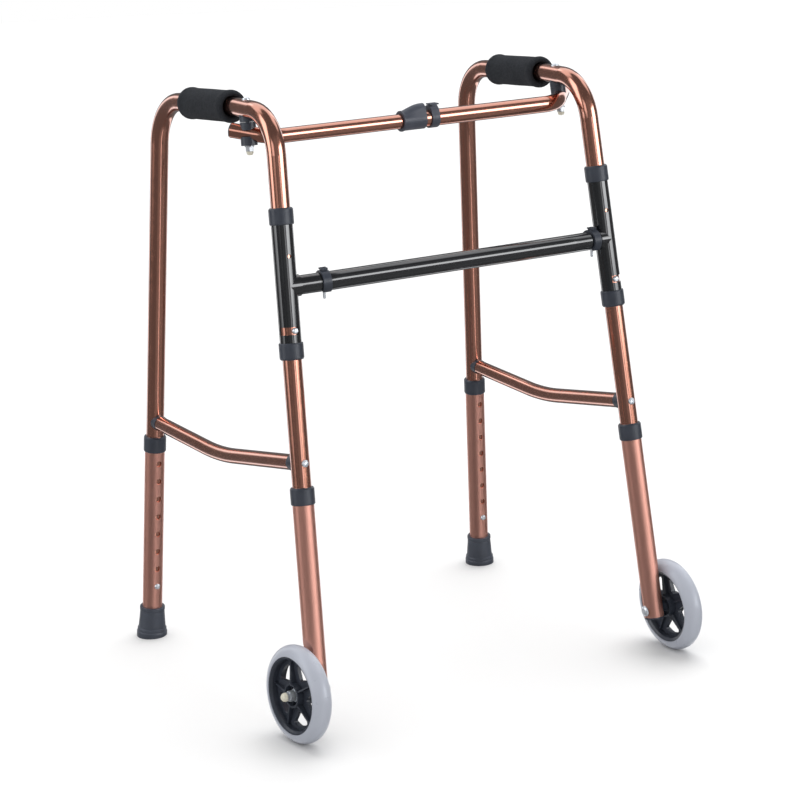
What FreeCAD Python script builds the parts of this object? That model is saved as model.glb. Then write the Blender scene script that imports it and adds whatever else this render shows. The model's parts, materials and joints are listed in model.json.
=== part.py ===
import FreeCAD, Part
import math
import os

# Folding two-wheel walking frame.  Units are millimetres.
# X is the width (positive to the user's left when facing the wheels), the front is -Y, Z is up.
# Every side part is built for the positive-X side and mirrored for the other one.

V = FreeCAD.Vector

# driving dimensions: tubes
TUBE_R = 12.7            # side frame tube, 25.4 mm outside
TUBE_BORE = 11.5
LEG_R = 14.3             # lower leg tubes and hinge sleeves, 28.6 mm outside
LEG_BORE = 13.05
COLLAR_R = 16.2
RUN_R = 12.76            # bore of the grips, and running bore of the collars on the tube
PRESS_R = 14.32          # bore of the plastic collars over the lower tubes and sleeves

# placement of a side frame: splay and toe of its plane
SPLAY = math.radians(2.55)
TOE = math.radians(1.38)
SIDE_X = 281.7           # side plane at the ground, at y = 0
SHIFT_Y = 8.5            # brings the origin to the middle of the footprint

# side frame outline in its own plane (y backward, z up)
REAR_Y0 = 257.4
REAR_LEAN = -0.0650
FRONT_Y0 = -238.6
FRONT_LEAN = 0.15113
HANDLE_Z = 811.8
HANDLE_KINK_Y = -18.0
HANDLE_SLOPE = 0.0655
FRONT_BEND = 61.0
REAR_BEND = 68.0
REAR_TUBE_END = 60.0
FRONT_TUBE_END = 152.0

# grip
GRIP_FRONT = -8.0
GRIP_REAR = 116.0

# height adjustment
PITCH = 27.0
HOLE_R = 4.2
BUTTON_R = 4.1
REAR_LEG_TOP = 303.0
REAR_LEG_END = 8.0
REAR_BUTTON_Z = 80.5
REAR_HOLES = 8
FRONT_LEG_TOP = 327.0
FRONT_LEG_END = 54.7
FRONT_BUTTON_Z = 170.0
FRONT_HOLES = 6
DENT_X = 9.3
DENT_Z = 137.0

# hinge sleeves and the bar between them
SLEEVE_LOW = 504.0
SLEEVE_TOP = 688.0
SLEEVE_BUTTON_Z = 535.8
CROSS_Z = 593.0
CROSS_Y = -156.0
CROSS_R = 12.7
CROSS_BEND_X = 185.0
STUB_END = {"right": 235.0, "left": 207.6}

# side brace
BRACE_R = 10.6
BRACE_BEND = 420.0
BRACE_START = 18.9       # tube end, from the axis of the leg tube
BRACE_FRONT_Z = 363.8
BRACE_MID = (37.0, 325.4)
BRACE_REAR_Z = 330.4

# wheels
WHEEL_R = 66.0
TYRE_IN = 52.0
TYRE_HALF = 14.0
WHEEL_OUT = 29.7
WHEEL_TURN = {"right": 1.2, "left": -3.9}    # toe of each wheel about its leg, degrees
SPOKE_TURN = {"right": 8.0, "left": 3.0}
AXLE_Z = 64.7

# telescopic top bar
BAR_Z = 780.5            # where the bolt crosses the bar
BAR_RISE = 4.5           # rise of the bar from its middle to the bolt
BAR_Y = -70.2
BAR_CORNER_X = 226.0
BAR_IN_R = 10.0
BAR_OUT_R = 11.4
BAR_OUT_WALL = 1.33      # leaves a running fit round the inner bar
BAR_BEND = 45.0
BAR_END = 24.0
OUTER_END = -24.0        # open end of the outer bar
INNER_END = 105.0        # end of the inner bar, inside the outer one
PIVOT_Y = -49.32
BOLT_R = 3.0
NUT_GAP = 2.1            # from the sloping outer bar to its nut, measured at the bolt

EX = V(math.cos(SPLAY) * math.cos(TOE), -math.cos(SPLAY) * math.sin(TOE), math.sin(SPLAY))
EY = V(math.sin(TOE), math.cos(TOE), 0)
EZ = EX.cross(EY)
SIDE = FreeCAD.Placement(FreeCAD.Matrix(
    EX.x, EY.x, EZ.x, SIDE_X,
    EX.y, EY.y, EZ.y, 0,
    EX.z, EY.z, EZ.z, 0,
    0, 0, 0, 1))


def to_world(shape):
    out = shape.copy()
    out.Placement = SIDE.multiply(shape.Placement)
    return out


def point(p):
    return SIDE.multVec(p)


def axis_frame(origin, direction, outward=V(1, 0, 0)):
    """Placement with Z along direction and X as near outward as it can be."""
    z = V(direction).normalize()
    y = z.cross(outward).normalize()
    x = y.cross(z)
    return FreeCAD.Placement(FreeCAD.Matrix(
        x.x, y.x, z.x, origin.x,
        x.y, y.y, z.y, origin.y,
        x.z, y.z, z.z, origin.z,
        0, 0, 0, 1))


REAR_DIR = V(0, REAR_LEAN, 1).normalize()
FRONT_DIR = V(0, FRONT_LEAN, 1).normalize()


def rear_at(z):
    return V(0, REAR_Y0 + REAR_LEAN * z, z)


def front_at(z):
    return V(0, FRONT_Y0 + FRONT_LEAN * z, z)


def on_rear(shape, z):
    out = shape.copy()
    out.Placement = axis_frame(rear_at(z), REAR_DIR).multiply(shape.Placement)
    return out


def on_front(shape, z):
    out = shape.copy()
    out.Placement = axis_frame(front_at(z), FRONT_DIR).multiply(shape.Placement)
    return out


def rear_len(z0, z1):
    return (z1 - z0) / REAR_DIR.z


def front_len(z0, z1):
    return (z1 - z0) / FRONT_DIR.z


def cyl(r, h, z0=0.0):
    return Part.makeCylinder(r, h, V(0, 0, z0))


def hexagon(corner_r, z0, h):
    """Six-sided bar along Z, its corners on the given radius."""
    pts = []
    for i in range(7):
        a = math.radians(60 * i)
        pts.append(V(corner_r * math.cos(a), corner_r * math.sin(a), z0))
    return Part.Face(Part.makePolygon(pts)).extrude(V(0, 0, h))


def ring(r_out, r_in, h, z0=0.0):
    return cyl(r_out, h, z0).cut(cyl(r_in, h + 2, z0 - 1))


def rod(p, q, r):
    return Part.makeCylinder(r, q.sub(p).Length, p, q.sub(p))


def revolve(points):
    """Solid of revolution about Z of a closed (radius, height) outline."""
    pts = [V(a, 0, b) for a, b in points]
    face = Part.Face(Part.makePolygon(pts + [pts[0]]))
    return face.revolve(V(0, 0, 0), V(0, 0, 1), 360)


def bent_path(points, radii):
    """Wire through points with an arc of the given radius at each inner corner."""
    edges = []
    start = points[0]
    for i in range(1, len(points) - 1):
        a = points[i - 1].sub(points[i]).normalize()
        b = points[i + 1].sub(points[i]).normalize()
        half = a.getAngle(b) / 2.0
        back = radii[i - 1] / math.tan(half)
        p = points[i].add(V(a).multiply(back))
        q = points[i].add(V(b).multiply(back))
        middle = V(a).add(b).normalize()
        centre = points[i].add(V(middle).multiply(radii[i - 1] / math.sin(half)))
        m = centre.sub(V(middle).multiply(radii[i - 1]))
        edges.append(Part.makeLine(start, p))
        edges.append(Part.Arc(p, m, q).toShape())
        start = q
    edges.append(Part.makeLine(start, points[-1]))
    return Part.Wire(edges)


def sweep(path, r):
    first = path.Edges[0]
    start = first.Vertexes[0].Point
    along = first.Vertexes[1].Point.sub(start)
    circle = Part.Wire(Part.makeCircle(r, start, along))
    return path.makePipeShell([circle], True, True)


def bent_tube(points, radii, r_out, r_in):
    path = bent_path(points, radii)
    return sweep(path, r_out).cut(sweep(path, r_in))


def handle_z(y):
    return HANDLE_Z - HANDLE_SLOPE * (y - HANDLE_KINK_Y)


def pivot_frame():
    """Frame on the handle tube, Z down along the fold pivot bolt."""
    z0 = HANDLE_Z
    y0 = PIVOT_Y + (HANDLE_Z - BAR_Z) * FRONT_LEAN
    return axis_frame(V(0, y0, z0), V(0, -FRONT_LEAN, -1))


BAR_DROP = (HANDLE_Z - BAR_Z) / FRONT_DIR.z


# ------------------------------------------------------------------ side frame

def outline():
    zc = (HANDLE_Z - HANDLE_SLOPE * (REAR_Y0 - HANDLE_KINK_Y)) / (1 + HANDLE_SLOPE * REAR_LEAN)
    return [rear_at(REAR_TUBE_END), rear_at(zc), V(0, HANDLE_KINK_Y, HANDLE_Z),
            front_at(HANDLE_Z), front_at(FRONT_TUBE_END)]


def brace_ends():
    """Front end, bend and rear end of the brace; the ends lie on the axes of the two leg tubes."""
    return front_at(BRACE_FRONT_Z), V(0, BRACE_MID[0], BRACE_MID[1]), rear_at(BRACE_REAR_Z)


def side_frame():
    body = bent_tube(outline(), [REAR_BEND, 150.0, FRONT_BEND], TUBE_R, TUBE_BORE)
    front, mid, rear = brace_ends()
    for end in (front, rear):
        d = mid.sub(end).normalize()
        a = end.sub(V(d).multiply(20))
        body = body.cut(rod(a, end.add(V(d).multiply(20)), 2.6))
    facing = Part.makeCylinder(HOLE_R, 20, V(0, 0, 0), V(0, -1, 0))
    behind = Part.makeCylinder(HOLE_R, 20, V(0, 0, 0), V(0, 1, 0))
    body = body.cut(on_rear(facing, REAR_BUTTON_Z))
    body = body.cut(on_front(behind, FRONT_BUTTON_Z))
    body = body.cut(on_front(facing, SLEEVE_BUTTON_Z))
    bolt = cyl(BOLT_R + 0.06, 40, -20)
    bolt.Placement = pivot_frame()
    return body.cut(bolt)


def grip():
    y0, y1 = GRIP_FRONT, GRIP_REAR
    p = V(0, y0, handle_z(y0))
    q = V(0, y1, handle_z(y1))
    n = q.sub(p).Length
    pts = [(RUN_R, 0), (17.2, 0), (20.8, 3), (22.3, 8), (22.3, 11), (21.3, 17), (21.3, n - 17),
           (22.3, n - 11), (22.3, n - 8), (20.8, n - 3), (17.2, n), (RUN_R, n)]
    s = revolve(pts)
    s.Placement = axis_frame(p, q.sub(p))
    return s


def brace():
    front, mid, rear = brace_ends()
    f = mid.sub(front).normalize()
    r = mid.sub(rear).normalize()
    return bent_tube([front.add(f.multiply(BRACE_START)), mid, rear.add(r.multiply(BRACE_START))],
                     [BRACE_BEND], BRACE_R, BRACE_R - 1.2)


def brace_saddle(end, mid, leg_dir):
    d = mid.sub(end).normalize()
    cap = rod(end.add(V(d).multiply(7)), end.add(V(d).multiply(BRACE_START - 0.05)), BRACE_R + 0.5)
    plug = rod(end.add(V(d).multiply(BRACE_START - 0.5)), end.add(V(d).multiply(38)), BRACE_R - 1.25)
    cap = cap.fuse(plug)
    cap = cap.cut(rod(end, end.add(V(d).multiply(42)), 2.45))
    leg = Part.makeCylinder(TUBE_R + 0.02, 80, end.sub(V(leg_dir).multiply(40)), leg_dir)
    return cap.cut(leg)


def brace_screw(end, mid):
    d = mid.sub(end).normalize()
    head = revolve([(0, 0), (4.8, 0), (4.8, 1.2), (3.9, 2.4), (2.2, 3.1), (0, 3.2)])
    head = head.cut(Part.makeBox(5.2, 0.9, 1.9, V(-2.6, -0.45, 1.6)))
    head = head.cut(Part.makeBox(0.9, 5.2, 1.9, V(-0.45, -2.6, 1.6)))
    head.Placement = FreeCAD.Placement(V(0, 0, TUBE_R + 0.1), FreeCAD.Rotation())
    shank = cyl(2.4, TUBE_R + 32.5, -32.2)
    s = head.fuse(shank).removeSplitter()
    s.Placement = axis_frame(end, V(d).multiply(-1))
    return s


# ------------------------------------------------------------------ lower legs

def collar(length, lip):
    """Press-on collar: wide bore below, running lip at the top."""
    pts = [(PRESS_R, 0), (COLLAR_R - 0.8, 0), (COLLAR_R, 1.2), (COLLAR_R, length - 2.0),
           (COLLAR_R - 1.5, length), (RUN_R, length), (RUN_R, length - lip), (PRESS_R, length - lip)]
    return revolve(pts)


def leg_holes(body, first, count, sign):
    for i in range(count):
        body = body.cut(Part.makeCylinder(HOLE_R, 20, V(0, 0, first + i * PITCH), V(0, sign, 0)))
    return body


def rear_leg():
    length = rear_len(REAR_LEG_END, REAR_LEG_TOP)
    body = ring(LEG_R, LEG_BORE, length)
    body = leg_holes(body, rear_len(REAR_LEG_END, REAR_BUTTON_Z), REAR_HOLES, -1)
    return on_rear(body, REAR_LEG_END)


def rear_collar():
    return on_rear(collar(23.0, 5.5), REAR_LEG_TOP - 17.3)


def rear_foot():
    """Rubber ferrule with a ribbed skirt and a flat, level sole."""
    h = rear_len(0, 46.0)
    start = -4.0
    seat = rear_len(0, REAR_LEG_END) - 0.05
    pts = [(0, start), (22.2, start), (22.2, 7.0), (21.3, 9.0), (21.3, 12.0), (19.8, 14.0),
           (18.0, h - 8.0), (17.6, h - 6.0), (18.4, h - 5.0), (18.4, h - 1.0), (17.8, h),
           (PRESS_R, h), (PRESS_R, seat), (0, seat)]
    foot = to_world(on_rear(revolve(pts), 0.0))
    ground = Part.makeBox(200, 200, 50, V(foot.CenterOfMass.x - 100, foot.CenterOfMass.y - 100, -50))
    return foot.cut(ground)


def turned(shape, side):
    """Turn a shape about the leg axis by the toe angle of this side's wheel."""
    out = shape.copy()
    out.rotate(front_at(0), FRONT_DIR, WHEEL_TURN[side])
    return out


def front_tube_solid(r, plane, z0, z1):
    """Cylinder from z0 to z1 (along the leg) flattened on its outer side below the dent."""
    body = cyl(r, z1 - z0, z0)
    dent = front_len(FRONT_LEG_END, DENT_Z)
    a = V(plane, -30, -60)
    b = V(plane, -30, dent - 14)
    c = V(r + 6, -30, dent + 14)
    d = V(r + 6, -30, -60)
    wedge = Part.Face(Part.makePolygon([a, b, c, d, a])).extrude(V(0, 60, 0))
    return body.cut(wedge)


def front_leg(side):
    length = front_len(FRONT_LEG_END, FRONT_LEG_TOP)
    body = front_tube_solid(LEG_R, DENT_X, 0, length)
    body = body.cut(front_tube_solid(LEG_BORE, DENT_X - 1.2, -1, length + 1))
    axle = front_len(FRONT_LEG_END, AXLE_Z)
    body = body.cut(Part.makeCylinder(4.05, 60, V(-30, 0, axle), V(1, 0, 0)))
    body.rotate(V(0, 0, 0), V(0, 0, 1), WHEEL_TURN[side])
    body = leg_holes(body, front_len(FRONT_LEG_END, FRONT_BUTTON_Z), FRONT_HOLES, 1)
    return on_front(body, FRONT_LEG_END)


def front_collar():
    return on_front(collar(23.0, 5.5), FRONT_LEG_TOP - 17.3)


def front_plug():
    rim = front_tube_solid(LEG_R - 0.2, DENT_X - 0.2, -2.6, -0.02)
    insert = front_tube_solid(LEG_BORE - 0.03, DENT_X - 1.25, -0.1, 5.0)
    return on_front(rim.fuse(insert).removeSplitter(), FRONT_LEG_END)


def button(reach):
    """Domed spring button, its axis along Z, flange inside the tube."""
    top = reach
    pts = [(0, 6.6), (5.2, 6.6), (5.2, 7.8), (BUTTON_R, 7.8), (BUTTON_R, top - 2.2), (3.6, top - 1.0),
           (2.4, top - 0.25), (0, top)]
    return revolve(pts)


def place_button(reach, on_leg, z, sign):
    s = button(reach)
    s.Placement = FreeCAD.Placement(V(0, 0, 0), FreeCAD.Rotation(V(0, 0, 1), V(0, sign, 0)))
    return on_leg(s, z)


def button_spring(on_leg, z, sign):
    """Bent leaf inside the tube: one arm behind the button, the other against the far wall."""
    t = 0.6
    arm = Part.makeBox(7.0, t, 34.0, V(-3.5, 5.8, -6.0))
    bend = Part.makeBox(7.0, 14.6, t, V(-3.5, -8.2, 28.0))
    back = Part.makeBox(7.0, t, 34.0, V(-3.5, -8.8, -5.4))
    s = arm.fuse(bend).fuse(back).removeSplitter()
    if sign < 0:
        s.rotate(V(0, 0, 0), V(0, 0, 1), 180)
    return on_leg(s, z)


# ------------------------------------------------------------------ wheel

def on_wheel(shape):
    """Wheel axis along +Z of the shape, outward; wheel centre at the shape's origin."""
    c = front_at(AXLE_Z).add(V(WHEEL_OUT, 0, 0))
    out = shape.copy()
    out.Placement = axis_frame(c, V(1, 0, 0), V(0, 1, 0)).multiply(shape.Placement)
    return out


def tyre():
    h = TYRE_HALF
    inner = TYRE_IN + 0.02
    arc = Part.Arc(V(inner, 0, h), V(WHEEL_R, 0, 0), V(inner, 0, -h)).toShape()
    line = Part.makeLine(V(inner, 0, -h), V(inner, 0, h))
    face = Part.Face(Part.Wire([arc, line]))
    return face.revolve(V(0, 0, 0), V(0, 0, 1), 360)


def spoke_window():
    """Opening between two spokes, centred on the X axis, with rounded corners."""
    apex, reach, round_r = 20.5, 42.0, 3.5
    c = math.sqrt(0.5)
    outer = apex * c * c + math.sqrt(reach * reach - (apex * c) ** 2) * c
    far = V(outer, outer - apex, 0)
    points = [V(apex, 0, 0), far, V(reach, 0, 0), V(outer, apex - outer, 0)]
    edges = [Part.makeLine(points[0], far), Part.Arc(far, points[2], points[3]).toShape(),
             Part.makeLine(points[3], points[0])]
    solid = Part.Face(Part.Wire(edges)).extrude(V(0, 0, 12)).translated(V(0, 0, -6))
    upright = [e for e in solid.Edges if e.Length > 11.9 and e.Length < 12.1]
    return solid.makeFillet(round_r, upright)


def rim(side):
    """Moulded wheel body: barrel, plate with five windows, ribs along the spokes and a finned hub."""
    barrel = revolve([(47.5, -11), (TYRE_IN, -13), (TYRE_IN, 13), (49.5, 13), (47.5, 10)])
    plate = cyl(48.5, 5.0, -2.5)
    hub = ring(16.2, 13.9, 24.6, -12.4).fuse(cyl(15.0, 8.0, -6.0))
    boss = cyl(7.4, 17.0, -20.2).fuse(cyl(9.0, 13.0, -8.0))
    body = barrel.fuse(plate)
    for i in range(5):
        window = spoke_window()
        window.rotate(V(0, 0, 0), V(0, 0, 1), 72.0 * i + 36.0 + SPOKE_TURN[side])
        body = body.cut(window)
    body = body.fuse(hub).fuse(boss)
    for i in range(5):
        pts = [V(15.0, -1.1, -6.0), V(48.5, -1.1, -6.0), V(48.5, -1.1, 5.7), V(15.0, -1.1, 11.3)]
        rib = Part.Face(Part.makePolygon(pts + [pts[0]])).extrude(V(0, 2.2, 0))
        rib.rotate(V(0, 0, 0), V(0, 0, 1), 72.0 * i + SPOKE_TURN[side])
        body = body.fuse(rib)
    for i in range(8):
        fin = Part.makeBox(5.8, 1.2, 6.5, V(8.8, -0.6, 1.5))
        fin.rotate(V(0, 0, 0), V(0, 0, 1), 45.0 * i + 11.0)
        body = body.fuse(fin)
    body = body.common(cyl(TYRE_IN, 60.0, -30.0))
    return body.cut(cyl(4.08, 80, -40)).removeSplitter()


def axle_bolt():
    """Along +Z outward, origin at the wheel centre; head on the inner side of the leg."""
    x0 = -WHEEL_OUT - LEG_R
    head = revolve([(0, x0 - 3.4), (4.5, x0 - 3.1), (7.2, x0 - 1.6), (7.8, x0 - 0.2), (7.8, x0), (0, x0)])
    shaft = cyl(4.0, 18.5 - x0 + 0.1, x0 - 0.1)
    return on_wheel(head.fuse(shaft))


def axle_nut():
    """Flange nut with a closed nylon cap, seated in the hub recess."""
    flange = ring(8.6, 4.02, 1.6, 5.05)
    body = hexagon(7.4, 6.6, 9.4).cut(cyl(4.02, 30, 0))
    cap = revolve([(0, 18.7), (4.02, 18.7), (4.02, 15.9), (6.0, 15.9), (6.0, 22.0), (5.2, 24.6),
                   (3.4, 26.4), (0, 27.0)])
    return on_wheel(flange.fuse(body).fuse(cap))


# ------------------------------------------------------------------ hinge sleeves and cross bar

def sleeve_and_stub(side):
    """Hinge sleeve with the welded bar stub and its internal spigot, in world coordinates."""
    length = front_len(SLEEVE_LOW, SLEEVE_TOP)
    body = to_world(on_front(cyl(LEG_R, length), SLEEVE_LOW))
    start, corner, end = cross_points(side)
    stub = sweep(Part.Wire([Part.makeLine(start, end)]), CROSS_R)
    bar_line = end.sub(start)
    weld_length = min(17.5, bar_line.Length)
    weld = rod(start, start.add(bar_line.normalize().multiply(weld_length)), CROSS_R + 1.6)
    spigot = sweep(Part.Wire([Part.makeLine(start, spigot_end(side))]), CROSS_R - 1.3)
    body = body.fuse(stub).fuse(spigot).fuse(weld)
    bore = to_world(on_front(cyl(LEG_BORE, length + 4, -2), SLEEVE_LOW))
    body = body.cut(bore)
    deg0, deg1 = -22.0, 100.0
    sector = Part.makeCylinder(30, 10, V(0, 0, -5), V(0, 0, 1), deg1 - deg0)
    sector.rotate(V(0, 0, 0), V(0, 0, 1), -90.0 + deg0)
    body = body.cut(to_world(on_front(sector, SLEEVE_BUTTON_Z)))
    hole = Part.makeCylinder(2.6, 20, V(0, 0, 0), V(0, -1, 0))
    body = body.cut(to_world(on_front(hole, 631.3)))
    return body.cut(cross_pin_hole(side, 2.05)).removeSplitter()


def cross_points(side):
    """Start, corner and stub end of the bar between the sleeves, for one side, in positive X."""
    start = point(front_at(CROSS_Z - 0.9))
    corner = V(CROSS_BEND_X, CROSS_Y, CROSS_Z)
    d = corner.sub(start).normalize()
    t = (start.x - STUB_END[side]) / -d.x
    end = start.add(V(d).multiply(t))
    return start, corner, end


def spigot_end(side):
    start, corner, end = cross_points(side)
    d = corner.sub(start).normalize()
    return end.add(d.multiply(16.0))


def pin_place(side):
    start, corner, end = cross_points(side)
    d = corner.sub(start).normalize()
    return end.add(V(d).multiply(8.0)), d


def cross_pin_hole(side, r):
    c, d = pin_place(side)
    return Part.makeCylinder(r, 60, c.sub(V(0, 0, 30)), V(0, 0, 1))


def cross_bar():
    points = []
    for side, sign in (("right", 1), ("left", -1)):
        start, corner, end = cross_points(side)
        end = end.add(corner.sub(end).normalize().multiply(0.3))
        points.append(V(sign * end.x, end.y, end.z))
        points.append(V(sign * corner.x, corner.y, corner.z))
    path = [points[0], points[1], points[3], points[2]]
    body = bent_tube(path, [90.0, 90.0], CROSS_R, CROSS_R - 1.2)
    body = body.cut(cross_pin_hole("right", 2.05))
    return body.cut(flip(cross_pin_hole("left", 2.05)))


def cross_clip(side):
    """Spring plastic clip round the bar with a small button on top, open at the back."""
    c, d = pin_place(side)
    body = ring(CROSS_R + 2.8, CROSS_R + 0.02, 12.0, -6.0)
    gap = Part.makeCylinder(30, 20, V(0, 0, -10), V(0, 0, 1), 70)
    gap.rotate(V(0, 0, 0), V(0, 0, 1), 145)
    body = body.cut(gap)
    tab = Part.makeBox(4.0, 7.6, 7.6, V(13.4, -3.8, -3.8))
    tab = tab.fuse(Part.makeBox(1.9, 9.4, 9.4, V(16.6, -4.7, -4.7)))
    tab = tab.cut(cyl(CROSS_R + 0.02, 40, -20))
    body = body.fuse(tab).removeSplitter()
    body.Placement = axis_frame(c, V(-d.x, -d.y, -d.z), V(0, 0, 1))
    return body.cut(cross_pin_hole(side, 2.02))


def cross_pin(side):
    c, d = pin_place(side)
    pin = Part.makeCylinder(2.0, 37.0, c.sub(V(0, 0, 21.5)), V(0, 0, 1))
    tip = Part.makeCone(1.2, 2.0, 1.4, c.sub(V(0, 0, 22.9)), V(0, 0, 1))
    return pin.fuse(tip).removeSplitter()


def sleeve_collars():
    """Two collars, one on each end of the hinge sleeve, lips outward."""
    top = on_front(collar(22.0, 5.5), SLEEVE_TOP - 16.2)
    low = collar(22.0, 5.5)
    low.rotate(V(0, 0, 0), V(1, 0, 0), 180)
    low = on_front(low, SLEEVE_LOW + 16.2)
    return [top, low]


# ------------------------------------------------------------------ pivot under each handle

def saddle_upper():
    """Upper half of the pivot spacer, hollowed to the handle tube; belongs to the side frame."""
    half = TUBE_R + (BAR_DROP - TUBE_R - BAR_IN_R) / 2.0 - 0.3
    s = cyl(10.6, half - 6.0, 6.0)
    s = s.cut(cyl(BOLT_R + 0.06, 60, -5))
    s.Placement = pivot_frame()
    handle = rod(V(0, -95, HANDLE_Z), V(0, 20, HANDLE_Z), TUBE_R + 0.02)
    body = side_solid()
    return s.cut(handle).cut(body)


def side_solid():
    return sweep(bent_path(outline(), [REAR_BEND, 150.0, FRONT_BEND]), TUBE_R + 0.02)


def pivot_bolt(nut_seat):
    shaft = cyl(BOLT_R, nut_seat + 8.5 + TUBE_R, -TUBE_R - 0.1)
    head = revolve([(0, -15.2), (3.2, -15.0), (5.2, -13.9), (5.5, -12.6), (5.5, -9.0), (0, -9.0)])
    slot = Part.makeBox(5.0, 0.9, 1.3, V(-2.5, -0.45, -15.5))
    slot = slot.fuse(Part.makeBox(0.9, 5.0, 1.3, V(-0.45, -2.5, -15.5)))
    head = head.cut(slot)
    head.Placement = pivot_frame()
    shaft.Placement = pivot_frame()
    # the underside of the head follows the bend that it sits on
    return head.cut(side_solid()).fuse(shaft)


def pivot_nut(nut_seat):
    """Flange nut with a domed nylon cap; nut_seat is its distance below the handle tube axis."""
    z0 = nut_seat
    flange = ring(6.4, BOLT_R + 0.02, 1.4, z0)
    body = hexagon(6.0, z0 + 1.4, 6.0).cut(cyl(BOLT_R + 0.02, 80, 0))
    end = z0 + 8.5
    cap = revolve([(0, end), (BOLT_R + 0.02, end), (BOLT_R + 0.02, z0 + 7.4), (4.9, z0 + 7.4),
                   (4.7, end + 1.4), (3.4, end + 3.6), (0, end + 4.2)])
    s = flange.fuse(body).fuse(cap).removeSplitter()
    s.Placement = pivot_frame()
    return s


# ------------------------------------------------------------------ telescopic top bar (world coordinates)

def bolt_at_bar():
    return point(V(0, PIVOT_Y, BAR_Z))


def bar_height():
    """Height of the straight middle of the bar."""
    return bolt_at_bar().z - BAR_RISE


def bar_points(inner_x):
    """Positive side bar line: tail end, corner and the inner end at inner_x."""
    pivot = bolt_at_bar()
    z = bar_height()
    corner = V(BAR_CORNER_X, BAR_Y, z)
    d = pivot.sub(corner).normalize()
    tail = pivot.add(V(d).multiply(BAR_END))
    return tail, corner, V(inner_x, BAR_Y, z)


def bar_half(r, wall, inner_x):
    tail, corner, inner = bar_points(inner_x)
    body = bent_tube([tail, corner, inner], [BAR_BEND], r, r - wall)
    bolt = cyl(BOLT_R + 0.08, 60, BAR_DROP - 30)
    bolt.Placement = pivot_frame()
    return body.cut(to_world(bolt))


def bar_cap(r, wall):
    tail, corner, inner = bar_points(0)
    d = tail.sub(corner).normalize()
    fit = r - wall - 0.03
    plug = revolve([(0, -7), (fit, -7), (fit, 0.03), (r - 0.1, 0.03), (r - 0.4, 1.2), (r - 3.2, 2.4), (0, 2.8)])
    plug.Placement = axis_frame(tail, d, V(0, 0, 1))
    return plug


def bar_saddles(r, with_lower):
    """Spacer half above the bar, and the saddle below it if there is one; both turn with the bar."""
    tail, corner, inner = bar_points(0)
    pivot = bolt_at_bar()
    d = tail.sub(pivot).normalize()
    bar = rod(pivot.sub(V(d).multiply(60)), tail.add(V(d).multiply(30)), r + 0.02)
    bend = sweep(bent_path([tail, corner, inner], [BAR_BEND]), r + 0.02)
    half = TUBE_R + (BAR_DROP - TUBE_R - BAR_IN_R) / 2.0
    up = cyl(10.6, BAR_DROP - half - 4.0, half)
    low = cyl(11.0, r + 6.2 - 4.5, BAR_DROP + 4.5)
    out = []
    for s in (up, low) if with_lower else (up,):
        s = s.cut(cyl(BOLT_R + 0.08, 120, -20))
        s.Placement = pivot_frame()
        s = to_world(s)
        out.append(s.cut(bar).cut(bend))
    return out


def egg(r, top_r, top_h, x0, x1, y, z):
    """Tube-hugging hump section, extruded along X."""
    a = math.acos((r - top_r) / top_h)
    p1 = V(x0, y + r * math.sin(a), z + r * math.cos(a))
    p2 = V(x0, y + top_r * math.sin(a), z + top_h + top_r * math.cos(a))
    p3 = V(x0, y, z + top_h + top_r)
    p4 = V(x0, y - top_r * math.sin(a), z + top_h + top_r * math.cos(a))
    p5 = V(x0, y - r * math.sin(a), z + r * math.cos(a))
    p6 = V(x0, y, z - r)
    wire = Part.Wire([Part.makeLine(p1, p2), Part.Arc(p2, p3, p4).toShape(), Part.makeLine(p4, p5),
                      Part.Arc(p5, p6, p1).toShape()])
    return wire


def latch_housing():
    """Fixed half of the bar lock: a hump that rises to the right over the lock pin."""
    z = bar_height()
    sections = [egg(13.2, 11.5, 2.0, -26.6, 0, BAR_Y, z), egg(13.2, 10.5, 5.0, -19.0, 0, BAR_Y, z),
                egg(13.2, 9.5, 10.0, -8.0, 0, BAR_Y, z), egg(13.2, 9.0, 12.4, 2.0, 0, BAR_Y, z),
                egg(13.2, 9.0, 12.6, 8.2, 0, BAR_Y, z)]
    body = Part.makeLoft(sections, True, False)
    lip = Part.Face(egg(13.9, 12.2, 2.0, -27.4, 0, BAR_Y, z)).extrude(V(2.4, 0, 0))
    body = body.fuse(lip)
    small = Part.makeCylinder(BAR_IN_R + 0.45, 80, V(-60, BAR_Y, z), V(1, 0, 0))
    big = Part.makeCylinder(BAR_OUT_R + 0.02, 80, V(OUTER_END, BAR_Y, z), V(1, 0, 0))
    pocket = Part.Face(egg(9.0, 6.2, 13.4, -4.0, 0, BAR_Y, z)).extrude(V(30, 0, 0))
    return body.cut(small).cut(big).cut(pocket)


def latch_ring():
    """Push ring on the outer bar with a finger tab on its top edge."""
    z = bar_height()
    body = Part.Face(egg(13.4, 10.5, 7.4, 16.6, 0, BAR_Y, z)).extrude(V(12.1, 0, 0))
    tab = Part.makeBox(14.0, 11.0, 1.8, V(17.0, BAR_Y - 5.5, z + 18.0))
    tab = tab.fuse(Part.makeBox(8.0, 11.0, 2.8, V(20.0, BAR_Y - 5.5, z + 16.2)))
    body = body.fuse(tab)
    bore = Part.makeCylinder(BAR_OUT_R + 0.1, 80, V(-20, BAR_Y, z), V(1, 0, 0))
    return body.cut(bore).removeSplitter()


# ------------------------------------------------------------------ output

def flip(shape):
    return shape.mirror(V(0, 0, 0), V(1, 0, 0))


def save(name, shapes):
    if not isinstance(shapes, list):
        shapes = [shapes]
    solids = []
    for s in shapes:
        solids += s.Solids
    shape = solids[0].copy() if len(solids) == 1 else Part.makeCompound(solids)
    shape.translate(V(0, SHIFT_Y, 0))
    print(name, len(solids), shape.isValid(), round(shape.Volume, 1))
    shape.exportStep("parts/" + name + ".step")


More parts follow.
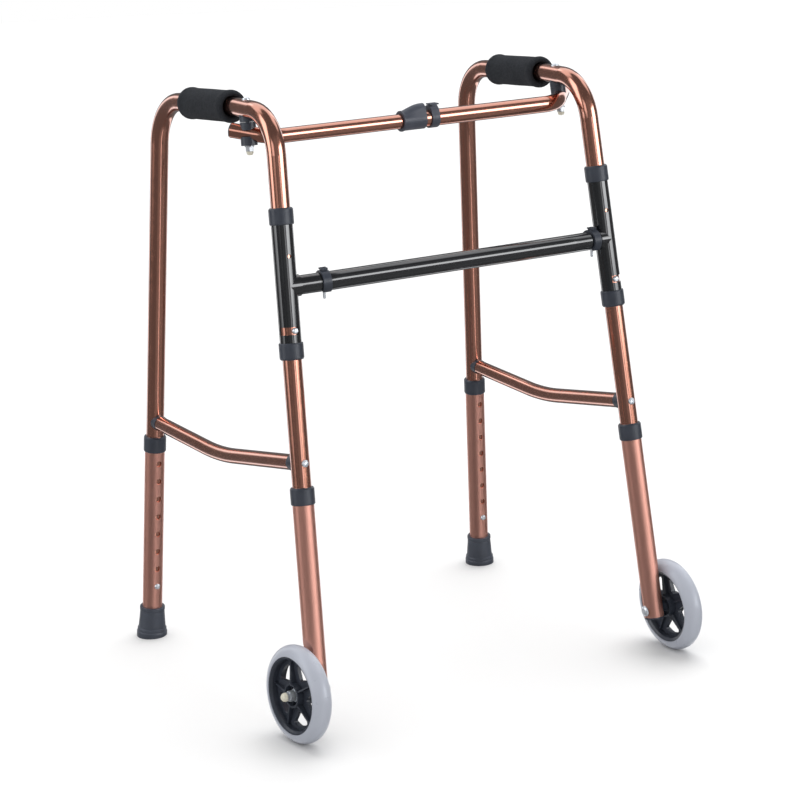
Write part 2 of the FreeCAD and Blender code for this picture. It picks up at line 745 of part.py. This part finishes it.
def both(name, shapes, world=False):
    if not isinstance(shapes, list):
        shapes = [shapes]
    right = shapes if world else [to_world(s) for s in shapes]
    save("right_" + name, right)
    save("left_" + name, [flip(s) for s in right])


def per_side(name, make, world=False):
    """Save a part that differs between the sides; make(side) builds it for the positive-X side."""
    right = make("right")
    left = make("left")
    save("right_" + name, right if world else to_world(right))
    save("left_" + name, flip(left if world else to_world(left)))


def main():
    os.makedirs("parts", exist_ok=True)
    front, mid, rear = brace_ends()
    both("side_frame", side_frame())
    both("grip", grip())
    both("brace", brace())
    both("brace_saddles", [brace_saddle(front, mid, FRONT_DIR), brace_saddle(rear, mid, REAR_DIR)])
    both("brace_screws", [brace_screw(front, mid), brace_screw(rear, mid)])
    springs = [button_spring(on_rear, REAR_BUTTON_Z, -1), button_spring(on_front, FRONT_BUTTON_Z, 1),
               button_spring(on_front, SLEEVE_BUTTON_Z, -1)]
    both("button_springs", springs)
    both("pivot_saddle", saddle_upper())
    both("rear_leg", rear_leg())
    both("rear_collar", rear_collar())
    both("rear_foot", rear_foot(), world=True)
    both("rear_button", place_button(17.3, on_rear, REAR_BUTTON_Z, -1))
    both("front_collar", front_collar())
    both("front_button", place_button(17.3, on_front, FRONT_BUTTON_Z, 1))
    both("sleeve_button", place_button(17.3, on_front, SLEEVE_BUTTON_Z, -1))
    per_side("front_leg", front_leg)
    per_side("front_plug", lambda side: turned(front_plug(), side))
    per_side("tyre", lambda side: turned(on_wheel(tyre()), side))
    per_side("rim", lambda side: turned(on_wheel(rim(side)), side))
    per_side("axle_bolt", lambda side: turned(axle_bolt(), side))
    per_side("axle_nut", lambda side: turned(axle_nut(), side))
    per_side("hinge_sleeve", sleeve_and_stub, world=True)
    both("sleeve_collars", sleeve_collars())
    per_side("cross_clip", cross_clip, world=True)
    save("cross_pins", [cross_pin("right"), flip(cross_pin("left"))])
    save("cross_bar", cross_bar())
    # the outer bar's nut sits straight under the tube, the inner bar's under a saddle
    outer_seat = BAR_DROP + BAR_OUT_R + NUT_GAP
    inner_seat = BAR_DROP + BAR_IN_R + 6.3
    save("right_pivot_bolt", to_world(pivot_bolt(outer_seat)))
    save("left_pivot_bolt", flip(to_world(pivot_bolt(inner_seat))))
    save("right_pivot_nut", to_world(pivot_nut(outer_seat)))
    save("left_pivot_nut", flip(to_world(pivot_nut(inner_seat))))
    save("top_bar_outer", bar_half(BAR_OUT_R, BAR_OUT_WALL, OUTER_END))
    save("top_bar_inner", flip(bar_half(BAR_IN_R, 1.0, -INNER_END)))
    save("outer_bar_cap", bar_cap(BAR_OUT_R, BAR_OUT_WALL))
    save("inner_bar_cap", flip(bar_cap(BAR_IN_R, 1.0)))
    save("outer_bar_spacer", bar_saddles(BAR_OUT_R, False))
    save("inner_bar_saddles", [flip(s) for s in bar_saddles(BAR_IN_R, True)])
    save("latch_housing", latch_housing())
    save("latch_ring", latch_ring())


main()
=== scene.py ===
import bpy
import json
import math
import numpy as np
from mathutils import Matrix, Vector, noise


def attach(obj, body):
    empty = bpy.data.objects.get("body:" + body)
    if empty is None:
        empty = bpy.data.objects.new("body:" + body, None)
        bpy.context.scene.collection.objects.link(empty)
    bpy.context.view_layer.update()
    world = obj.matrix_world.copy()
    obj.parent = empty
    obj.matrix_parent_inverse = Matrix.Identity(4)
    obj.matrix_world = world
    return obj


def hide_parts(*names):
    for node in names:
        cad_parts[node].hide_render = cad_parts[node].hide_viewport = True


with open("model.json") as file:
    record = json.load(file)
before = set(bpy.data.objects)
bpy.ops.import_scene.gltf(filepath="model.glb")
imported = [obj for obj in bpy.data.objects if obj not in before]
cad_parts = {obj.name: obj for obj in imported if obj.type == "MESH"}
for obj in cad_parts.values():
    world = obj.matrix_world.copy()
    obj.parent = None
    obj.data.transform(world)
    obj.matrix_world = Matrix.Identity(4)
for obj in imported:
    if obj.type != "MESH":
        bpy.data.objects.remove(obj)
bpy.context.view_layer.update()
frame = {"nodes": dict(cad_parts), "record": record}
NODES = frame["nodes"]

# ------------------------------------------------------------------ camera

CAM_AT = Vector((-1.74493, -2.97807, 1.28312))
CAM_YAW = math.radians(30.147)
CAM_DIP = math.radians(14.672)
CAM_ROLL = math.radians(-1.816)
CAM_LENS = 115.57
CAM_SIDE = math.degrees(math.atan2(CAM_AT.y, CAM_AT.x))


def make_camera():
    data = bpy.data.cameras.new("camera")
    data.lens = CAM_LENS
    data.sensor_width = 36.0
    data.clip_start = 0.05
    data.clip_end = 60.0
    cam = bpy.data.objects.new("camera", data)
    bpy.context.scene.collection.objects.link(cam)
    level = Vector((math.sin(CAM_YAW), math.cos(CAM_YAW), 0.0))
    ahead = level * math.cos(CAM_DIP) - Vector((0.0, 0.0, math.sin(CAM_DIP)))
    right = Vector((math.cos(CAM_YAW), -math.sin(CAM_YAW), 0.0))
    up = right.cross(ahead)
    x = right * math.cos(CAM_ROLL) + up * math.sin(CAM_ROLL)
    y = up * math.cos(CAM_ROLL) - right * math.sin(CAM_ROLL)
    z = -ahead
    cam.matrix_world = Matrix(((x.x, y.x, z.x, CAM_AT.x), (x.y, y.y, z.y, CAM_AT.y),
                               (x.z, y.z, z.z, CAM_AT.z), (0, 0, 0, 1)))
    bpy.context.scene.camera = cam


# ------------------------------------------------------------------ materials

NOISE_LOW = 0.3     # nearly all of a noise texture's values lie between these two
NOISE_HIGH = 0.7


class Nodes:
    """Small helper round a material's node tree."""

    def __init__(self, name):
        self.mat = bpy.data.materials.new(name)
        self.mat.use_nodes = True
        self.tree = self.mat.node_tree
        self.tree.nodes.clear()
        self.shader = self.add("ShaderNodeBsdfPrincipled")
        self.link(self.shader.outputs["BSDF"], self.add("ShaderNodeOutputMaterial").inputs["Surface"])

    def add(self, kind):
        return self.tree.nodes.new(kind)

    def link(self, a, b):
        self.tree.links.new(a, b)

    def set(self, **values):
        """Constants on the shader's own sockets, with _ for each space."""
        for key, value in values.items():
            self.shader.inputs[key.replace("_", " ")].default_value = value

    def colour(self, source):
        self.link(source, self.shader.inputs["Base Color"])

    def roughness(self, source):
        self.link(source, self.shader.inputs["Roughness"])

    def metallic(self, source):
        self.link(source, self.shader.inputs["Metallic"])

    def normal(self, source):
        self.link(source, self.shader.inputs["Normal"])

    def coords(self):
        return self.add("ShaderNodeTexCoord").outputs["Object"]

    def noise(self, scale, detail=3.0, rough=0.55):
        node = self.add("ShaderNodeTexNoise")
        node.inputs["Scale"].default_value = scale
        node.inputs["Detail"].default_value = detail
        node.inputs["Roughness"].default_value = rough
        self.link(self.coords(), node.inputs["Vector"])
        return node.outputs["Fac"]

    def ramp(self, source, low, high, start=NOISE_LOW, end=NOISE_HIGH):
        """Colour that goes from low to high while source goes from start to end."""
        node = self.add("ShaderNodeValToRGB")
        first, last = node.color_ramp.elements
        first.position = start
        first.color = (*low, 1.0)
        last.position = end
        last.color = (*high, 1.0)
        self.link(source, node.inputs["Fac"])
        return node.outputs["Color"]

    def remap(self, source, low, high, a=NOISE_LOW, b=NOISE_HIGH):
        """Value that goes from low to high while source goes from a to b."""
        node = self.add("ShaderNodeMapRange")
        node.inputs["From Min"].default_value = a
        node.inputs["From Max"].default_value = b
        node.inputs["To Min"].default_value = low
        node.inputs["To Max"].default_value = high
        self.link(source, node.inputs["Value"])
        return node.outputs["Result"]

    def bump(self, source, strength, distance, after=None):
        node = self.add("ShaderNodeBump")
        node.inputs["Strength"].default_value = strength
        node.inputs["Distance"].default_value = distance
        self.link(source, node.inputs["Height"])
        if after is not None:
            self.link(after, node.inputs["Normal"])
        return node.outputs["Normal"]


def scaled(colour, factor):
    return tuple(c * factor for c in colour)


def copper():
    n = Nodes("copper_anodised")
    n.set(Metallic=1.0, Coat_Weight=1.0, Coat_Roughness=0.05, Coat_IOR=1.55)
    n.colour(n.ramp(n.noise(9.0, 4.0), (0.58, 0.245, 0.165), (0.64, 0.28, 0.195)))
    n.roughness(n.remap(n.noise(70.0, 5.0, 0.65), 0.13, 0.2))
    fine = n.bump(n.noise(900.0, 2.0), 0.02, 0.0002)
    n.normal(n.bump(n.noise(14.0, 2.0), 0.05, 0.0006, fine))
    return n.mat


def copper_satin():
    n = Nodes("copper_satin")
    n.set(Metallic=1.0)
    n.colour(n.ramp(n.noise(9.0, 4.0), (0.69, 0.345, 0.275), (0.73, 0.37, 0.295)))
    n.roughness(n.remap(n.noise(70.0, 5.0, 0.65), 0.40, 0.45))
    n.normal(n.bump(n.noise(1400.0, 2.0), 0.03, 0.0001))
    return n.mat


def gloss_black():
    n = Nodes("gloss_black_paint")
    n.set(Coat_Weight=1.0, Coat_Roughness=0.05, Coat_IOR=1.6)
    n.colour(n.ramp(n.noise(20.0), (0.003, 0.0035, 0.0045), (0.005, 0.006, 0.0075)))
    n.roughness(n.remap(n.noise(60.0, 5.0), 0.11, 0.17))
    n.normal(n.bump(n.noise(260.0, 2.0), 0.05, 0.0003))
    return n.mat


def moulded(name, colour, rough):
    """Moulded plastic or rubber with a fine grain and slightly uneven shine."""
    n = Nodes(name)
    n.colour(n.ramp(n.noise(30.0), scaled(colour, 0.85), scaled(colour, 1.15)))
    n.roughness(n.remap(n.noise(120.0, 4.0), rough - 0.06, rough + 0.08))
    n.normal(n.bump(n.noise(1400.0, 2.0), 0.12, 0.0002))
    return n.mat


def foam():
    """Closed-cell foam: fine pores over a soft, slightly uneven skin, a little paler in places."""
    n = Nodes("grip_foam")
    n.set(Specular_IOR_Level=0.22)
    pores = n.add("ShaderNodeTexVoronoi")
    pores.inputs["Scale"].default_value = 750.0
    n.link(n.coords(), pores.inputs["Vector"])
    depth = pores.outputs["Distance"]
    speck = n.ramp(depth, (0.006, 0.007, 0.008), (0.019, 0.021, 0.025), 0.1, 0.6)
    wear = n.ramp(n.noise(34.0, 4.0), (0.0, 0.0, 0.0), (0.006, 0.006, 0.007), 0.35, 0.75)
    both = n.add("ShaderNodeMixRGB")
    both.blend_type = "ADD"
    both.inputs["Fac"].default_value = 1.0
    n.link(speck, both.inputs["Color1"])
    n.link(wear, both.inputs["Color2"])
    n.colour(both.outputs["Color"])
    n.roughness(n.remap(n.noise(300.0, 3.0), 0.8, 0.95))
    first = n.bump(depth, 0.55, 0.0005)
    n.normal(n.bump(n.noise(160.0, 4.0), 0.25, 0.0012, first))
    return n.mat


def tyre_grey():
    n = Nodes("tyre_grey")
    n.colour(n.ramp(n.noise(25.0), (0.375, 0.395, 0.45), (0.395, 0.415, 0.47)))
    n.roughness(n.remap(n.noise(90.0, 4.0), 0.27, 0.31))
    n.normal(n.bump(n.noise(900.0, 2.0), 0.04, 0.0001))
    return n.mat


ZINC_METAL = 0.75
NYLON = (0.60, 0.57, 0.47, 1.0)


def bright_zinc(name, painted_shade=1.0, cap_axis=None, cap_at=None):
    """Zinc plate. With a cap axis it is a nut whose far end is cream nylon: cap_at gives where,
    along the nut's own box from 0 to 1, the zinc stops and the nylon starts."""
    n = Nodes(name)
    # painted_shade scales the zinc colour: below 1 it is painted shade, a darker copy of the same zinc
    dull = scaled((0.66, 0.70, 0.75), painted_shade)
    clean = scaled((0.78, 0.81, 0.85), painted_shade)
    colour = n.ramp(n.noise(90.0), dull, clean)
    if cap_axis is None:
        n.set(Metallic=ZINC_METAL)
    else:
        split = n.add("ShaderNodeSeparateXYZ")
        n.link(n.add("ShaderNodeTexCoord").outputs["Generated"], split.inputs["Vector"])
        nylon = n.remap(split.outputs[cap_axis], 0.0, 1.0, *cap_at)
        mix = n.add("ShaderNodeMixRGB")
        n.link(nylon, mix.inputs["Fac"])
        n.link(colour, mix.inputs["Color1"])
        mix.inputs["Color2"].default_value = NYLON
        colour = mix.outputs["Color"]
        n.metallic(n.remap(nylon, ZINC_METAL, 0.0, 0.0, 1.0))
    n.colour(colour)
    n.roughness(n.remap(n.noise(300.0, 4.0), 0.28, 0.4))
    n.normal(n.bump(n.noise(1500.0, 2.0), 0.05, 0.0002))
    return n.mat


def make_materials():
    """One material for each slot of the frame, and one for each way that a capped nut points; the one
    for nuts capped below is a darker copy, its zinc at half brightness as painted shade.
    """
    return {
        "copper": copper(),
        "copper_satin": copper_satin(),
        "black_frame": gloss_black(),
        "black_plastic": moulded("black_plastic", (0.028, 0.033, 0.045), 0.36),
        "grey_plastic": moulded("latch_grey_plastic", (0.046, 0.051, 0.068), 0.42),
        "foam": foam(),
        "foot_rubber": moulded("foot_rubber", (0.037, 0.043, 0.058), 0.5),
        "tyre": tyre_grey(),
        "zinc": bright_zinc("bright_zinc"),
        "spring_steel": bright_zinc("spring_steel"),
        # the pivot nuts' zinc at half brightness is painted shade, toning down their bright reflections
        "nut_capped_below_painted_shade": bright_zinc("nut_capped_below_painted_shade", 0.5, "Z", (0.44, 0.40)),
        "nut_capped_left": bright_zinc("nut_capped_left", 1.0, "X", (0.34, 0.30)),
        "nut_capped_right": bright_zinc("nut_capped_right", 1.0, "X", (0.66, 0.70)),
    }


CAPPED_NUTS = {
    "left_pivot_nut": "nut_capped_below_painted_shade",
    "right_pivot_nut": "nut_capped_below_painted_shade",
    "left_axle_nut": "nut_capped_left",
    "right_axle_nut": "nut_capped_right",
}


def paint_nodes():
    for part in frame["record"]["subparts"]:
        slots = NODES[part["node"]].data.materials
        slots.clear()
        slots.append(MATERIALS[CAPPED_NUTS.get(part["node"], part["material_slot"])])


# ------------------------------------------------------------------ studio

FLOOR_HALF = 9.0
WALL_RADIUS = 8.8
WALL_BOTTOM = -0.5
WALL_TOP = 7.5
WALL_TURNS = 48
FLOOR_WHITE = 0.7
KEY_FROM = (0.8, 0.7, 2.8)
KEY_POWER = 2.2
KEY_SPREAD = 0.9        # radians across; wide, so that shadows stay close to feet and wheels


def stage_mesh(name, verts, faces, white, glow):
    """A matt grey to white surface, glowing by glow, that the tubes don't mirror."""
    mesh = bpy.data.meshes.new(name)
    mesh.from_pydata(verts, [], faces)
    obj = bpy.data.objects.new(name, mesh)
    bpy.context.scene.collection.objects.link(obj)
    n = Nodes(name + "_paint")
    n.set(Base_Color=(white, white, white, 1.0), Roughness=1.0, Specular_IOR_Level=0.0,
          Emission_Color=(1.0, 1.0, 1.0, 1.0), Emission_Strength=glow)
    mesh.materials.append(n.mat)
    obj.visible_glossy = False
    return obj


def key_light():
    """A soft sun that shades everything, but that the tubes don't mirror."""
    data = bpy.data.lights.new("key", "SUN")
    data.energy = KEY_POWER
    data.angle = KEY_SPREAD
    lamp = bpy.data.objects.new("key", data)
    bpy.context.scene.collection.objects.link(lamp)
    lamp.rotation_euler = Vector(KEY_FROM).to_track_quat("Z", "Y").to_euler()
    lamp.visible_glossy = False


class Sky:
    """Soft boxes drawn on the world by direction, for the reflections in the tubes."""

    def __init__(self, world):
        world.use_nodes = True
        self.tree = world.node_tree
        self.tree.nodes.clear()
        out = self.tree.nodes.new("ShaderNodeOutputWorld")
        self.ground = self.tree.nodes.new("ShaderNodeBackground")
        self.tree.links.new(self.ground.outputs["Background"], out.inputs["Surface"])
        way = self.tree.nodes.new("ShaderNodeTexCoord").outputs["Generated"]
        split = self.tree.nodes.new("ShaderNodeSeparateXYZ")
        self.tree.links.new(way, split.inputs["Vector"])
        self.turn = self.math("ARCTAN2", split.outputs["Y"], split.outputs["X"])
        self.rise = self.math("ARCSINE", split.outputs["Z"])
        self.total = None

    def math(self, kind, a, b=None, c=None):
        node = self.tree.nodes.new("ShaderNodeMath")
        node.operation = kind
        for i, v in enumerate((a, b, c)):
            if v is None:
                continue
            if isinstance(v, (int, float)):
                node.inputs[i].default_value = v
            else:
                self.tree.links.new(v, node.inputs[i])
        return node.outputs["Value"]

    def window(self, value, middle, half, soft, round_trip=False):
        """1 within half of middle, fading to 0 over soft; in degrees, or a full turn if round_trip."""
        off = self.math("SUBTRACT", value, math.radians(middle))
        if round_trip:
            off = self.math("WRAP", off, math.pi, -math.pi)
        off = self.math("ABSOLUTE", off)
        node = self.tree.nodes.new("ShaderNodeMapRange")
        node.interpolation_type = "SMOOTHSTEP"
        node.inputs["From Min"].default_value = math.radians(half)
        node.inputs["From Max"].default_value = math.radians(half + soft)
        node.inputs["To Min"].default_value = 1.0
        node.inputs["To Max"].default_value = 0.0
        self.tree.links.new(off, node.inputs["Value"])
        return node.outputs["Result"]

    def box(self, turn, rise, power):
        """turn and rise are (middle, half, soft) in degrees, turn counted from the camera's bearing."""
        t = self.window(self.turn, CAM_SIDE + turn[0], turn[1], turn[2], True)
        r = self.window(self.rise, *rise)
        part = self.math("MULTIPLY", self.math("MULTIPLY", t, r), power)
        self.total = part if self.total is None else self.math("ADD", self.total, part)

    def finish(self, base):
        """base is the strength of the sky between the boxes."""
        self.tree.links.new(self.math("ADD", self.total, base), self.ground.inputs["Strength"])
        self.ground.inputs["Color"].default_value = (0.97, 0.98, 1.0, 1.0)


def make_floor():
    s = FLOOR_HALF
    corners = [(-s, -s, 0), (s, -s, 0), (s, s, 0), (-s, s, 0)]
    stage_mesh("floor", corners, [(0, 1, 2, 3)], FLOOR_WHITE, 0.0)


def make_backdrop():
    """A round glowing wall and lid a long way off, so that every view has the same pale ground."""
    verts = []
    for height in (WALL_BOTTOM, WALL_TOP):
        for i in range(WALL_TURNS):
            a = 2 * math.pi * i / WALL_TURNS
            verts.append((WALL_RADIUS * math.cos(a), WALL_RADIUS * math.sin(a), height))
    faces = []
    for i in range(WALL_TURNS):
        j = (i + 1) % WALL_TURNS
        faces.append((i, j, WALL_TURNS + j, WALL_TURNS + i))
    faces.append(tuple(range(WALL_TURNS, 2 * WALL_TURNS)))
    backdrop = stage_mesh("backdrop", verts, faces, 0.0, 1.0)
    backdrop.visible_shadow = False


def make_studio():
    """Sky for the mirrored lights, pale floor and backdrop, and one soft key light."""
    scene = bpy.context.scene
    scene.view_settings.view_transform = "Standard"
    world = bpy.data.worlds.new("studio")
    scene.world = world
    sky = Sky(world)
    sky.box((28, 2.5, 4.5), (-25, 30, 10), 1.7)  # narrow strip beside the camera
    sky.box((38, 38, 14), (-10, 45, 15), 0.12)   # broad soft box on the right
    sky.box((62, 16, 7), (13, 9, 5), 5.0)        # low band on the right
    sky.box((-78, 12, 8), (22, 22, 8), 2.4)      # strip on the left
    sky.box((-32, 8, 8), (17, 7, 7), 1.3)        # high on the left, for the bar's tail
    sky.box((180, 70, 20), (50, 11, 8), 1.2)     # overhead, behind
    sky.box((150, 4, 7), (-10, 45, 10), 1.4)     # strips for the other sides
    sky.box((-140, 4, 7), (-10, 45, 10), 1.4)
    sky.finish(0.165)
    world.cycles.sampling_method = "NONE"

    make_floor()
    make_backdrop()
    key_light()


# ------------------------------------------------------------------ foam grips

def round_axis(node):
    """Start, direction and length of a round CAD piece, from front to back."""
    obj = NODES[node]
    pts = np.array([obj.matrix_world @ v.co for v in obj.data.vertices])
    middle = (pts.min(axis=0) + pts.max(axis=0)) / 2
    for _ in range(3):
        values, vectors = np.linalg.eigh(np.cov((pts - middle).T))
        axis = vectors[:, 2] if vectors[1, 2] > 0 else -vectors[:, 2]
        along = (pts - middle) @ axis
        for k in (0, 1):
            across = (pts - middle) @ vectors[:, k]
            middle = middle + vectors[:, k] * (across.min() + across.max()) / 2
    return Vector(middle + axis * along.min()), Vector(axis), float(along.max() - along.min())


END_ZONE = 22.0         # millimetres at each end of a grip that the rounded bead takes
GRIP_TURNS = 72         # points round the grip
BORE_LIMIT = 15.0       # millimetres; within it the outline is the recess, which stays true


def grip_outline(n):
    """Radius and distance along the grip in millimetres; n is its length."""
    front = [(13.0, 7.0), (13.6, 4.2), (14.6, 2.2), (15.9, 0.9), (17.6, 0.2), (19.4, 0.7), (21.0, 2.3),
             (22.0, 4.7), (22.3, 7.4), (22.1, 10.2), (21.6, 13.0), (21.3, 16.5), (21.2, END_ZONE)]
    body = []
    for k in range(1, 9):
        share = k / 9
        body.append((21.15 + 0.12 * math.sin(math.pi * share), END_ZONE + (n - 2 * END_ZONE) * share))
    back = [(r, n - t) for r, t in reversed(front)]
    return front + body + back


def foam_grip(side):
    """The foam tube on one hand rail, with beaded ends, in place of the plain CAD solid."""
    node = side + "_grip"
    start, axis, length = round_axis(node)
    outline = grip_outline(length * 1000.0)
    u = axis.cross(Vector((0, 0, 1))).normalized()
    w = axis.cross(u).normalized()
    turns = GRIP_TURNS
    verts = []
    for r, t in outline:
        for k in range(turns):
            a = 2 * math.pi * k / turns
            out = u * math.cos(a) + w * math.sin(a)
            at = start + axis * (t / 1000.0) + out * (r / 1000.0)
            if r > BORE_LIMIT:
                # the skin is soft, so it is a little uneven
                swell = 0.00022 * noise.noise(at * 55.0) + 0.0001 * noise.noise(at * 190.0)
                at = at + out * (swell - 0.0001)
            verts.append(at)
    rings = len(outline)
    faces = []
    for i in range(rings):
        j = (i + 1) % rings
        for k in range(turns):
            m = (k + 1) % turns
            faces.append((i * turns + k, i * turns + m, j * turns + m, j * turns + k))
    mesh = bpy.data.meshes.new(side + "_foam_grip")
    mesh.from_pydata(verts, [], faces)
    for face in mesh.polygons:
        face.use_smooth = True
    obj = bpy.data.objects.new(side + "_foam_grip", mesh)
    bpy.context.scene.collection.objects.link(obj)
    smooth = obj.modifiers.new("smooth", "SUBSURF")
    smooth.levels = 1
    smooth.render_levels = 1
    mesh.materials.append(MATERIALS["foam"])
    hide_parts(node)
    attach(obj, side + "_side")


# ------------------------------------------------------------------ build

MATERIALS = make_materials()
paint_nodes()
for grip_side in ("left", "right"):
    foam_grip(grip_side)

make_camera()
make_studio()
